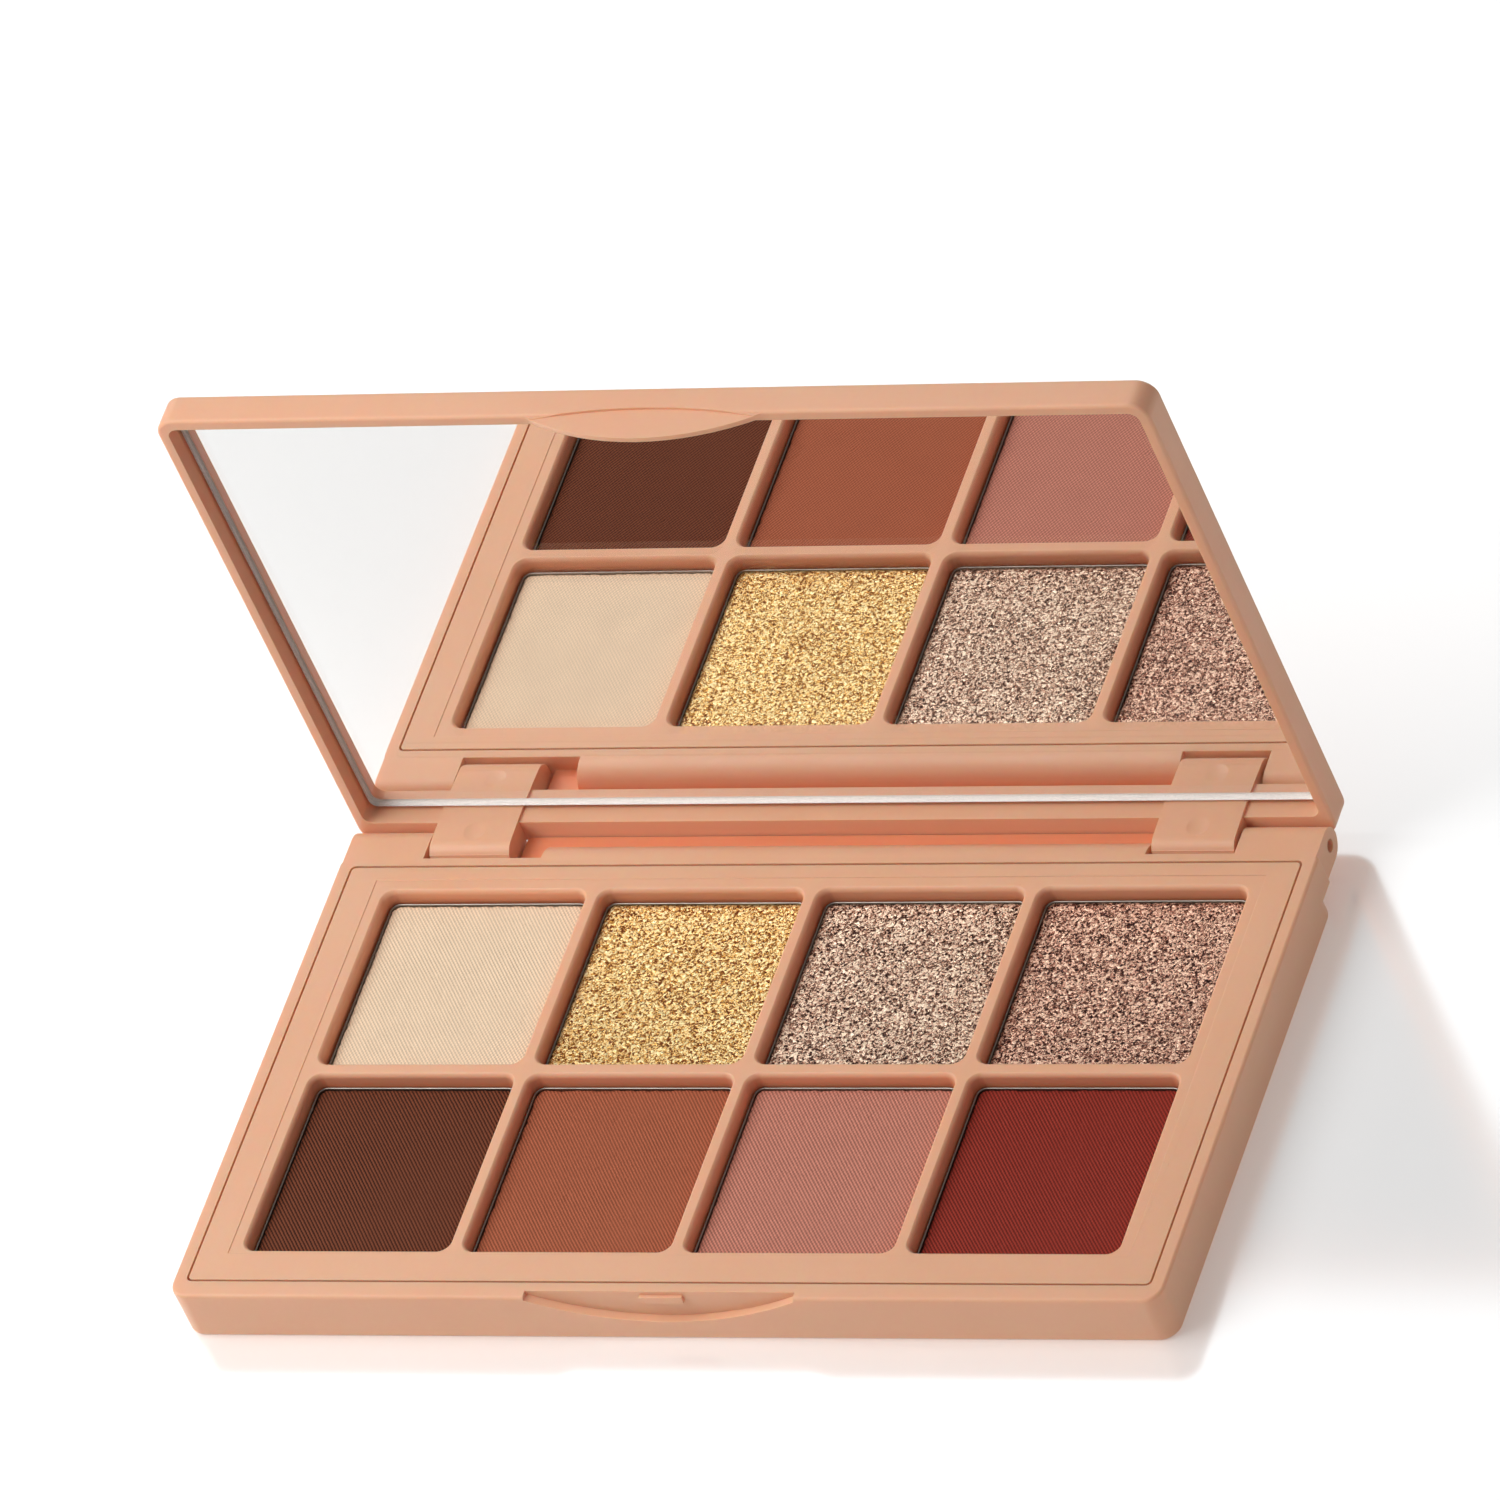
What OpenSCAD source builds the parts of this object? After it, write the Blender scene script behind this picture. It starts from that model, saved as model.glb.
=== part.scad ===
/* [Case] */
// Width of the base and lid
case_w = 116; // [112:1:126]
// Depth of the base from its front face to the hinge axis
hinge_reach = 65.35; // [65.2:0.05:67]
// Height of the base
base_h = 6.4; // [6.2:0.1:8]
// Thickness of the lid
lid_t = 3.85; // [3.7:0.05:5]
// How far the lid reaches past the front of the base when closed
lid_overhang = 0.6; // [0:0.1:0.7]
// Corner radius of base and lid in plan
corner_r = 2.2; // [1.2:0.1:4]
// Rounding of the outside edges
edge_r = 0.4; // [0.2:0.05:0.6]
// Thickness of the tray floor
floor_t = 1.2; // [0.8:0.1:1.4]

/* [Pans] */
// Columns of pans
columns = 4; // [4]
// Rows of pans
rows = 2; // [2]
// Distance between pan centres across the case
pitch_x = 26; // [25.6:0.1:26.2]
// Distance between pan centres front to back
pitch_y = 26.4; // [26:0.1:26.6]
// Thickness of the bars between the wells
bar_t = 1.8; // [1.6:0.1:2.2]
// Depth from the plate's face to the powder
powder_drop = 1.85; // [1.5:0.05:2.2]
// Metal thickness of a pan
pan_t = 0.3; // [0.25:0.05:0.4]
// Gap between a pan and the wall of its well
pan_gap = 0.2; // [0.15:0.05:0.3]
// Rounding where a well breaks the plate's face
well_edge_r = 0.7; // [0.5:0.05:0.8]

/* [Mirror] */
// Thickness of the mirror glass
glass_t = 1.1; // [0.8:0.05:1.2]
// Depth from the lid's rim to the front of the glass
glass_drop = 1.85; // [1.3:0.05:1.9]

/* [Hinge] */
// Diameter of a hinge pin
pin_d = 1.5; // [1.2:0.1:1.6]
// Width of a hinge knuckle
knuckle_w = 9.6; // [8:0.1:10]
// Distance from the case's centre to the outside of a knuckle
knuckle_out = 47.7; // [46:0.1:49]
// Radius of the barrel that holds a pin
barrel_r = 2.0; // [1.7:0.05:2.1]

/* [Hidden] */
$fn = 64;
eps = 0.02;

// Plan positions, measured from the middle of the base's underside
front_y = -33.2;
hinge_y = front_y + hinge_reach;
hinge_z = base_h - barrel_r;
rim_side = 1.55;
rim_front = 2.16;
cheek_r = 0.6;
cheek_back = 3;
plate_play = 0.25;
pocket_w = case_w - 2 * rim_side;
pocket_d = 59.3;
pocket_r = 0.7;
pocket_y = front_y + rim_front + pocket_d / 2;
ledge_d = 2.66;
seat_y = front_y + rim_front + pocket_d - ledge_d;
seat_z = 3.9;
web_t = 2;
body_back_y = seat_y + web_t;
past = 1; // How far a cutter runs past the surface it opens

// Wells and pans
well_w = pitch_x - bar_t;
well_d = pitch_y - bar_t;
well_r = 1.3;
front_band = 6.1;
wells_y = front_y + front_band + well_edge_r + well_d / 2 + pitch_y / 2;
plate_t = 1.2;
plate_r = 0.5;
plate_lift = 0.1;
skirt_t = 0.8;
skirt_r = 1.5;
peg_r = 0.9;
peg_in = 2;
peg_y = 20;
step_gap = 1.6;
step_h = 0.08;
glue_t = 0.15;
glue_r = 4;
pan_floor_z = floor_t + glue_t;
powder_z = base_h - powder_drop;
pan_lip = 0.05;

// Hinge strip
strip_inset = 0.3;
slot_d = 2.85;
slot_y = hinge_y - slot_d;
slot_cut = 10;
ear_gap = 0.4;
trough_drop = 2.1;
trough_r = 3.2;
trough_lead = 0.1;
slot_out = knuckle_out + ear_gap;
slot_in_left = 33.9;
slot_floor_z = 4.3;
slot_in_right = knuckle_out - knuckle_w - ear_gap;
pin_r = pin_d / 2;
pin_running_gap = 0.05;
pin_l = 17.5;
pin_recess = 0.8;
pin_end_x = case_w / 2 - strip_inset - pin_recess;
ear_bore_l = 14;
knuckle_bore_l = 8.6;

// Knuckles and the arms that carry them
nose_r = 1.9;
knuckle_reach = 2.45;
knuckle_rise = 2.4;
arm_rise = 0.25;
arm_foot = 0.6;
arm_sink = 0.3;
seam_r = 0.06;
seam_turn = 36;
sink_r = 6;
sink_depth = 0.25;
sink_back = 0.6;

// Lid, open at a right angle behind the hinge
lid_gap = 0.15;
rim_y = hinge_y + barrel_r + lid_gap;
lid_back_y = rim_y + lid_t;
lid_drop = 0.9;
lid_bottom_z = hinge_z - lid_drop;
lid_top_z = hinge_z + hinge_reach + lid_overhang;
lid_h = lid_top_z - lid_bottom_z;
lid_wall = 1.26;
lid_foot = 3.1;
recess_r = 1.2;
glass_gap = 0.3;
glass_foot_gap = 0.55;
glass_r = 1;
adhesive_t = 0.15;
tape_margin = 8;
tape_r = 3;
glass_y = rim_y + glass_drop;
panel_y = glass_y + glass_t + adhesive_t;
glass_w = case_w - 2 * lid_wall - 2 * glass_gap;
glass_z0 = lid_bottom_z + lid_foot + glass_foot_gap;
glass_z1 = lid_top_z - lid_wall - glass_gap;

// Thumb notch in the base and the lip that closes over it
notch_w = 31.6;
notch_h = 3.7;
notch_step = 0.45;
notch_t = 1;
lip_w = 27.6;
lip_h = 3.2;
lip_t = 0.7;
lip_inset = 0.2;
lip_root = 1.2;
scoop_h = 1.4;
scoop_in = 0.95;
scoop_depth = 0.1;
nub_w = 5;
nub_h = 0.9;
nub_t = 0.4;
nub_drop = 0.55;

// Colours
shell_col = [0.90, 0.69, 0.57];
tin_col = [0.80, 0.80, 0.80];
pin_col = [0.70, 0.70, 0.72];
glass_col = [0.85, 0.90, 0.92];
tape_col = [0.95, 0.95, 0.93];
glue_col = [0.92, 0.88, 0.75];
powder_cols = [
    [0.37, 0.20, 0.14], [0.65, 0.35, 0.25], [0.73, 0.47, 0.41], [0.53, 0.18, 0.16],
    [0.89, 0.80, 0.69], [0.79, 0.59, 0.29], [0.76, 0.65, 0.57], [0.69, 0.51, 0.45]
];

// Radius of the circle that passes through both ends and the middle of a crescent's edge
function crescent_r(w, h) = (w * w / 4 + h * h) / (2 * h);

// Centre of the well in a column and row, both counted from 0 at the front left
function well_at(column, row) = [
    (column - (columns - 1) / 2) * pitch_x,
    wells_y + (row - (rows - 1) / 2) * pitch_y
];

// Rectangle centred on the origin with round corners
module round_rect(w, h, r) {
    square([w - 2 * r, h], center = true);
    square([w, h - 2 * r], center = true);
    for (x = [-1, 1], y = [-1, 1])
        translate([x * (w / 2 - r), y * (h / 2 - r)]) circle(r);
}

// Slab standing on z = 0 with round corners in plan and rounded top and bottom edges
module soft_slab(w, d, h, r, e) {
    translate([0, 0, h / 2]) {
        rotate([90, 0, 90])
            linear_extrude(w - 2 * r, center = true) round_rect(d, h, e);
        rotate([90, 0, 0])
            linear_extrude(d - 2 * r, center = true) round_rect(w, h, e);
        for (x = [-1, 1], y = [-1, 1])
            translate([x * (w / 2 - r), y * (d / 2 - r), 0])
                rotate_extrude() intersection() {
                    round_rect(2 * r, h, e);
                    translate([0, -h / 2]) square([r, h]);
                }
    }
}

// Cutter for a well: straight walls below, and a mouth that rolls outwards at z = 0
module well_cutter(w, d, r, e, depth) {
    translate([0, 0, -depth]) linear_extrude(depth + past) round_rect(w, d, r);
    for (a = [0, 180]) rotate(a) {
        translate([w / 2, 0, 0]) rotate([90, 0, 0])
            linear_extrude(d - 2 * r, center = true) mouth_flare(e);
        translate([0, d / 2, 0]) rotate([90, 0, 90])
            linear_extrude(w - 2 * r, center = true) mouth_flare(e);
    }
    for (x = [-1, 1], y = [-1, 1])
        translate([x * (w / 2 - r), y * (d / 2 - r), 0])
            rotate_extrude() translate([r, 0]) mouth_flare(e);
}

// What a rolled edge leaves outside its quarter circle
module mouth_flare(e) {
    difference() {
        translate([-eps, -e]) square([e + eps, e + eps]);
        translate([e, -e]) circle(e);
    }
}

// Cross-section of the hinge strip, drawn as depth and height
module strip_section() {
    translate([seat_y, hinge_z - barrel_r])
        square([hinge_y - seat_y, 2 * barrel_r]);
    translate([hinge_y, hinge_z]) circle(barrel_r, $fn = 96);
}

// What the trough between the knuckles takes away from the strip
module trough_section() {
    difference() {
        translate([slot_y + trough_lead, base_h - trough_drop])
            square([slot_cut, trough_drop + past]);
        translate([slot_y + trough_lead, base_h - trough_r]) circle(trough_r, $fn = 96);
    }
}

module along_x(x0, x1) {
    translate([x0, 0, 0]) rotate([90, 0, 90]) linear_extrude(x1 - x0) children();
}

module base_shell() {
    body_d = body_back_y - front_y;
    rim_d = hinge_y - cheek_back - front_y;
    notch_r = crescent_r(notch_w, notch_h - notch_step);
    color(shell_col) difference() {
        union() {
            translate([0, front_y + body_d / 2, 0])
                soft_slab(case_w, body_d, base_h, corner_r, edge_r);
            intersection() {
                translate([0, front_y + rim_d / 2, 0])
                    soft_slab(case_w, rim_d, base_h, cheek_r, edge_r);
                translate([-case_w, 0, hinge_z - barrel_r]) cube([2 * case_w, rim_d, 2 * barrel_r]);
            }
            along_x(-case_w / 2 + strip_inset, case_w / 2 - strip_inset) strip_section();
        }
        // Shallow pocket for the plate's rim, and the deep one for the pans
        translate([0, pocket_y, seat_z])
            linear_extrude(base_h) round_rect(pocket_w, pocket_d, pocket_r);
        translate([0, (front_y + rim_front + seat_y) / 2, floor_t])
            linear_extrude(base_h)
                round_rect(pocket_w, seat_y - front_y - rim_front, pocket_r);
        // Slots for the knuckles, open below, and the trough between them
        for (side = [-1, 1])
            translate([side * (knuckle_out - knuckle_w / 2), slot_y + slot_cut / 2, base_h / 2])
                cube([knuckle_w + 2 * ear_gap, slot_cut, base_h + past], center = true);
        translate([-slot_out, slot_y, slot_floor_z])
            cube([slot_out - slot_in_left, slot_cut, base_h]);
        along_x(-slot_in_left - eps, slot_in_right + eps) trough_section();
        // Bores for the two hinge pins
        for (side = [-1, 1])
            translate([side * (slot_out + case_w / 2) / 2, hinge_y, hinge_z])
                rotate([0, 90, 0]) cylinder(r = pin_r, h = ear_bore_l, center = true);
        // Thumb notch, a crescent with a short upright step at each end
        translate([0, front_y + notch_t, base_h]) rotate([90, 0, 0])
            linear_extrude(2 * notch_t) intersection() {
                translate([0, notch_r - notch_h]) circle(notch_r, $fn = 256);
                translate([-notch_w / 2, -notch_h]) square([notch_w, notch_h + past]);
            }
    }
    // Catch nub on the back of the notch
    color(shell_col)
        translate([-nub_w / 2, front_y + notch_t - nub_t, base_h - nub_drop - nub_h])
            cube([nub_w, 2 * nub_t, nub_h]);
}

module pan_plate() {
    plate_w = pocket_w - 2 * plate_play;
    plate_d = pocket_d - 2 * plate_play;
    group_w = (columns - 1) * pitch_x + well_w;
    group_d = (rows - 1) * pitch_y + well_d;
    color(shell_col) difference() {
        union() {
            translate([0, pocket_y, base_h - plate_t])
                linear_extrude(plate_t) round_rect(plate_w, plate_d, plate_r);
            translate([0, wells_y, floor_t + plate_lift])
                linear_extrude(base_h - plate_t - floor_t)
                    round_rect(group_w + 2 * skirt_t, group_d + 2 * skirt_t, skirt_r);
            // Pegs that stand on the tray floor
            for (x = [-1, 1], y = [-1, 1])
                translate([x * (plate_w / 2 - peg_in), pocket_y + y * peg_y, floor_t + plate_lift])
                    cylinder(r = peg_r, h = base_h - plate_t - floor_t);
        }
        for (column = [0 : columns - 1], row = [0 : rows - 1])
            translate([well_at(column, row).x, well_at(column, row).y, base_h])
                well_cutter(well_w, well_d, well_r, well_edge_r, base_h);
        // Hair-line step round the wells at the sides and the back
        translate([0, wells_y + (step_gap - well_edge_r) / 2, base_h - step_h])
            linear_extrude(past) square([
                group_w + 2 * step_gap, group_d + step_gap + well_edge_r
            ], center = true);
    }
}

// Square tray pressed from sheet, open at the top
module pan(column, row) {
    at = well_at(column, row);
    w = well_w - 2 * pan_gap;
    d = well_d - 2 * pan_gap;
    color(tin_col) translate([at.x, at.y, pan_floor_z]) difference() {
        linear_extrude(powder_z + pan_lip - pan_floor_z) round_rect(w, d, well_r - pan_gap);
        translate([0, 0, pan_t]) linear_extrude(base_h)
            round_rect(w - 2 * pan_t, d - 2 * pan_t, well_r - pan_gap - pan_t);
    }
}

// Block of powder pressed into a pan
module powder(column, row, shade) {
    at = well_at(column, row);
    w = well_w - 2 * pan_gap - 2 * pan_t;
    d = well_d - 2 * pan_gap - 2 * pan_t;
    color(powder_cols[shade]) translate([at.x, at.y, pan_floor_z + pan_t])
        linear_extrude(powder_z - pan_floor_z - pan_t)
            round_rect(w, d, well_r - pan_gap - pan_t);
}

// One dot of glue under the middle of each pan
module pan_glue() {
    color(glue_col)
        for (column = [0 : columns - 1], row = [0 : rows - 1])
            translate([well_at(column, row).x, well_at(column, row).y, floor_t])
                cylinder(r = glue_r, h = glue_t);
}

// Cross-section of a knuckle and its arm, drawn as depth and height
module knuckle_section() {
    nose_y = hinge_y - knuckle_reach + nose_r;
    low_z = hinge_z - barrel_r;
    top_z = hinge_z + knuckle_rise;
    arm_y = panel_y + arm_sink;
    for (z = [low_z + nose_r, top_z - nose_r])
        translate([nose_y, z]) circle(nose_r, $fn = 96);
    translate([nose_y - nose_r, low_z + nose_r])
        square([knuckle_reach, top_z - low_z - 2 * nose_r]);
    translate([nose_y, low_z]) square([knuckle_reach - nose_r, top_z - low_z]);
    translate([hinge_y, hinge_z]) circle(barrel_r, $fn = 96);
    // Seam that the mould leaves across the nose
    translate([nose_y - nose_r * cos(seam_turn), top_z - nose_r + nose_r * sin(seam_turn)])
        circle(seam_r, $fn = 16);
    polygon([
        [nose_y, top_z], [arm_y, top_z + arm_rise], [arm_y, lid_bottom_z + arm_foot],
        [hinge_y + barrel_r, lid_bottom_z + arm_foot], [hinge_y, hinge_z]
    ]);
}

module lid_shell() {
    inner_w = case_w - 2 * lid_wall;
    inner_z0 = lid_bottom_z + lid_foot;
    inner_z1 = lid_top_z - lid_wall;
    lip_r = crescent_r(lip_w, lip_h);
    color(shell_col) difference() {
        union() {
            difference() {
                translate([0, rim_y, lid_bottom_z + lid_h / 2]) rotate([-90, 0, 0])
                    soft_slab(case_w, lid_h, lid_t, corner_r, edge_r);
                // Recess for the mirror
                translate([0, panel_y, (inner_z0 + inner_z1) / 2]) rotate([90, 0, 0])
                    linear_extrude(panel_y) round_rect(inner_w, inner_z1 - inner_z0, recess_r);
            }
            // Knuckles, each with a sink mark over its thick arm
            for (side = [-1, 1])
                translate([side * (knuckle_out - knuckle_w / 2), 0, 0]) difference() {
                    along_x(-knuckle_w / 2, knuckle_w / 2) knuckle_section();
                    translate([
                        0, hinge_y + sink_back, hinge_z + knuckle_rise + arm_rise / 2 + sink_r - sink_depth
                    ]) sphere(sink_r);
                }
            // Crescent lip that hangs over the thumb notch
            intersection() {
                translate([0, rim_y - lip_h + lip_r, lid_top_z - lip_inset - lip_t])
                    cylinder(r = lip_r, h = lip_t, $fn = 256);
                translate([-lip_w, rim_y - lip_h - past, lid_top_z - lip_inset - lip_t - past])
                    cube([2 * lip_w, lip_h + past + lip_root, lip_t + 2 * past]);
            }
        }
        // Bores for the two hinge pins
        for (side = [-1, 1])
            translate([side * knuckle_out, hinge_y, hinge_z]) rotate([0, 90, 0])
                cylinder(r = pin_r + pin_running_gap, h = 2 * knuckle_bore_l, center = true);
        // Finger scoop along the root of the lip
        translate([
            0, rim_y + scoop_in - crescent_r(lip_w, scoop_h), lid_top_z - lip_inset - scoop_depth
        ]) cylinder(r = crescent_r(lip_w, scoop_h), h = past, $fn = 256);
    }
}

module mirror_glass() {
    color(glass_col)
        translate([0, glass_y + glass_t, (glass_z0 + glass_z1) / 2]) rotate([90, 0, 0])
            linear_extrude(glass_t) round_rect(glass_w, glass_z1 - glass_z0, glass_r);
}

module mirror_adhesive() {
    color(tape_col)
        translate([0, panel_y, (glass_z0 + glass_z1) / 2]) rotate([90, 0, 0])
            linear_extrude(adhesive_t)
                round_rect(glass_w - tape_margin, glass_z1 - glass_z0 - tape_margin, tape_r);
}

module hinge_pin(side) {
    color(pin_col) translate([side * (pin_end_x - pin_l / 2), hinge_y, hinge_z])
        rotate([0, 90, 0]) cylinder(r = pin_r, h = pin_l, center = true);
}

base_shell();
pan_plate();
pan(0, 0);  // pan_dark_brown
pan(1, 0);  // pan_terracotta
pan(2, 0);  // pan_dusty_pink
pan(3, 0);  // pan_oxblood
pan(0, 1);  // pan_cream
pan(1, 1);  // pan_gold
pan(2, 1);  // pan_champagne
pan(3, 1);  // pan_rose_bronze
powder(0, 0, 0);  // powder_dark_brown
powder(1, 0, 1);  // powder_terracotta
powder(2, 0, 2);  // powder_dusty_pink
powder(3, 0, 3);  // powder_oxblood
powder(0, 1, 4);  // powder_cream
powder(1, 1, 5);  // powder_gold
powder(2, 1, 6);  // powder_champagne
powder(3, 1, 7);  // powder_rose_bronze
pan_glue();
lid_shell();
mirror_glass();
mirror_adhesive();
hinge_pin(-1);  // hinge_pin_left
hinge_pin(1);  // hinge_pin_right
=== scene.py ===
"""Finished look of a hinged eyeshadow palette, built piece by piece on its CAD frame."""

import math

import bmesh
import bpy
from mathutils import Matrix, Vector, noise


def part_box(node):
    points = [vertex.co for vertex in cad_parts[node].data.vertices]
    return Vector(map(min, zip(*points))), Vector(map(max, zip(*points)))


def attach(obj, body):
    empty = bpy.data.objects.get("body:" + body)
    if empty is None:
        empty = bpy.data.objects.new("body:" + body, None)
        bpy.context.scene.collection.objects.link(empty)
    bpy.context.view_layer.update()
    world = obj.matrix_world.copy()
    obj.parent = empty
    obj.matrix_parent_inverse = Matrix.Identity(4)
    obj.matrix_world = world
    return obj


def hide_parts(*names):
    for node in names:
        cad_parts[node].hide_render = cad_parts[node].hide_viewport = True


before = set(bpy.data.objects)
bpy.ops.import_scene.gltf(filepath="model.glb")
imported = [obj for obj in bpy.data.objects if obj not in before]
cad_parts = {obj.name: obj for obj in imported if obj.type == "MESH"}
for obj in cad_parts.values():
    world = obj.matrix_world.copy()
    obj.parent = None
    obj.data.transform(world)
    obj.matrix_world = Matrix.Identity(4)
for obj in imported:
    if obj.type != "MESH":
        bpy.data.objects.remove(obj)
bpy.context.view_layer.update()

bl_info = {
    "name": "Eyeshadow palette",
    "version": (1, 0, 0),
    "blender": (4, 5, 0),
    "location": "View3D > Sidebar > Palette",
    "description": "Builds the finished pieces of a hinged eyeshadow palette on its CAD frame",
    "category": "Object",
}

MM = 0.001

# Extent of the recesses that get painted shade, a deeper orange painted into the plastic's colour,
# in millimetres, and how strong the painted shade gets
RIM_HEIGHT = 6.3
WELL_BED_HEIGHT = 4.3
TROUGH_BED_HEIGHT = 3.6
TROUGH_SPAN = (52, 50)
TROUGH_FRONT = (28.8, 29.6)
TROUGH_UNDERSIDE = (2.4, 3.0)
WELL_PAINTED_SHADE = 0.7
TROUGH_PAINTED_SHADE = 0.8

# Corner radii of the outlines; a pan's inner rings don't go below the least one
PAN_CORNER = 1.1 * MM
LEAST_CORNER = 0.2 * MM
POWDER_CORNER = 0.9 * MM
MIRROR_CORNER = 1.0 * MM

# Room for the tape behind the silver, and the ends of the hinge pins
SILVER_GAP = 0.02 * MM
PIN_DOME = 0.02 * MM
PIN_SIDES = 40

# CAD points nearer than this are merged, edges flatter are dissolved, and sharper ones softened
MERGE_DISTANCE = 2e-6
FLAT_ANGLE = math.radians(0.4)
SOFTENED_ANGLE = math.radians(28)

# Turn of the pressed rows, either way, from a powder's front-to-back direction
THREAD_ANGLE = math.radians(37)

# Blender's band texture repeats every 2 pi / 20 at a scale of 1
BAND_PERIOD = 2 * math.pi / 20


def from_screen(red, green, blue):
    """Linear colour for a colour given as 0 to 255 screen values."""
    return tuple(
        c / 12.92 if c <= 0.04045 else ((c + 0.055) / 1.055) ** 2.4
        for c in (red / 255, green / 255, blue / 255)
    )


# Painted shade in the furrows and painted highlight on the ridges of a matte powder's rows (their
# contrast), share of the rows that cross them, and how close they are
MATTE_LOOKS = {
    "dark_brown": (0.95, 0.15, 1),
    "terracotta": (0.55, 0.18, 1.05),
    "dusty_pink": (0.55, 0.3, 1),
    "oxblood": (0.7, 0.2, 1.03),
    "cream": (0.3, 0.38, 1),
}

# Painted shade in the gaps between a shimmer powder's crumbs, and the tone of its brightest foil,
# partly the foil's own brightness and partly painted glint
SHIMMER_LOOKS = {
    "gold": (from_screen(112, 52, 8), from_screen(255, 240, 186)),
    "champagne": (from_screen(48, 20, 11), from_screen(255, 234, 209)),
    "rose_bronze": (from_screen(44, 12, 7), from_screen(255, 220, 194)),
}

SHADES = (*MATTE_LOOKS, *SHIMMER_LOOKS)


def length(name, description, millimetres):
    return bpy.props.FloatProperty(
        name=name, description=description, default=millimetres * MM,
        min=0, precision=6, unit="LENGTH",
    )


def colour(name, description, red, green, blue):
    return bpy.props.FloatVectorProperty(
        name=name, description=description, default=from_screen(red, green, blue),
        subtype="COLOR", size=3, min=0, max=1,
    )


class PaletteSizes(bpy.types.PropertyGroup):
    """Sizes of the details that the CAD leaves to the finish."""

    case_edge: length("Case edges", "Softening of the case's moulded edges", 0.1)
    plate_edge: length("Plate edges", "Softening of the pan plate's edges", 0.07)
    pan_wall: length("Pan wall", "Thickness of the pans' sheet metal", 0.24)
    pan_bend: length("Pan bend", "Radius between a pan's floor and walls", 0.45)
    powder_step: length("Powder mesh", "Spacing of the points on a powder's face", 0.19)
    powder_crumble: length("Powder crumble", "How deep the powder's border has crumbled", 0.26)
    imprint_pitch: length("Imprint pitch", "Spacing of the rows pressed into a matte powder", 0.355)
    imprint_depth: length("Imprint depth", "Depth of the rows pressed into a matte powder", 0.06)
    flake: length("Flake", "Size of the crumbs in a shimmer powder", 0.31)
    flake_height: length("Flake height", "Height of the crumbs in a shimmer powder", 0.13)
    glass_arris: length("Glass arris", "Width of the ground arris round the mirror", 0.16)
    pin_chamfer: length("Pin chamfer", "Chamfer on the cut ends of the hinge pins", 0.14)


class PaletteColours(bpy.types.PropertyGroup):
    """Colours of the plastic, the metal and the eight shades."""

    case: colour("Case", "Moulded plastic of base, plate and lid", 238, 184, 150)
    case_deep: colour("Case, deep", "Tint of the plastic where it varies", 236, 179, 144)
    # Painted shade: a deeper orange painted into the plastic in the plate's wells and the hinge
    # strip's trough, where light bounces between orange walls
    case_shade: colour("Case, recessed", "Tint of the plastic deep in its recesses", 234, 116, 66)
    dark_brown: colour("Dark brown", "Matte powder", 116, 62, 40)
    terracotta: colour("Terracotta", "Matte powder", 178, 99, 70)
    dusty_pink: colour("Dusty pink", "Matte powder", 206, 135, 116)
    oxblood: colour("Oxblood", "Matte powder", 151, 52, 40)
    cream: colour("Cream", "Matte powder", 247, 219, 188)
    gold: colour("Gold", "Shimmer powder", 252, 190, 90)
    champagne: colour("Champagne", "Shimmer powder", 200, 146, 118)
    rose_bronze: colour("Rose bronze", "Shimmer powder", 186, 120, 96)
    tin: colour("Tinplate", "Pressed pans", 150, 144, 136)
    steel: colour("Steel", "Hinge pins", 176, 174, 172)
    silver: colour("Silvering", "Back of the mirror", 250, 249, 248)
    ground_glass: colour("Ground glass", "Edge of the mirror", 255, 250, 245)
    glue: colour("Glue", "Dots under the pans", 236, 226, 196)
    tape: colour("Tape", "Foam tape behind the mirror", 238, 237, 232)
    floor: colour("Floor", "Studio floor", 250, 250, 250)


class PaletteStage(bpy.types.PropertyGroup):
    """Where the camera stands and how bright the studio is."""

    azimuth: bpy.props.FloatProperty(
        name="Azimuth", description="Camera's turn to the right of straight ahead",
        default=math.radians(35.48), subtype="ANGLE",
    )
    elevation: bpy.props.FloatProperty(
        name="Elevation", description="Camera's height above the horizon",
        default=math.radians(41.74), subtype="ANGLE",
    )
    roll: bpy.props.FloatProperty(
        name="Roll", description="Camera's lean about its own line of sight",
        default=math.radians(-25.89), subtype="ANGLE",
    )
    distance: bpy.props.FloatProperty(
        name="Distance", description="From the camera to the point it looks at",
        default=1.99522, unit="LENGTH", precision=5,
    )
    target: bpy.props.FloatVectorProperty(
        name="Target", description="Point that the camera looks at",
        default=(0.00815, 0.01403, 0.04008), subtype="TRANSLATION", unit="LENGTH", precision=5,
    )
    focal_length: bpy.props.FloatProperty(
        name="Focal length", description="Lens of the camera", default=455.05, unit="CAMERA"
    )
    key: bpy.props.FloatProperty(
        name="Key light", description="Power of the softbox at the upper left",
        default=2.65, unit="POWER",
    )
    fill: bpy.props.FloatProperty(
        name="Fill light", description="Power of the softbox in front",
        default=0.15, unit="POWER",
    )
    rim: bpy.props.FloatProperty(
        name="Rim light", description="Power of the softbox on the right",
        default=0.12, unit="POWER",
    )
    sheen: bpy.props.FloatProperty(
        name="Sheen panel", description="Power of the panel that only shines in glossy surfaces",
        default=3.6, unit="POWER",
    )
    surround: bpy.props.FloatProperty(
        name="Surround", description="Brightness of the white room",
        default=0.3, min=0, soft_max=1, subtype="FACTOR",
    )


def sizes():
    return bpy.context.scene.palette_sizes


def colours():
    return bpy.context.scene.palette_colours


# Meshes


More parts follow.
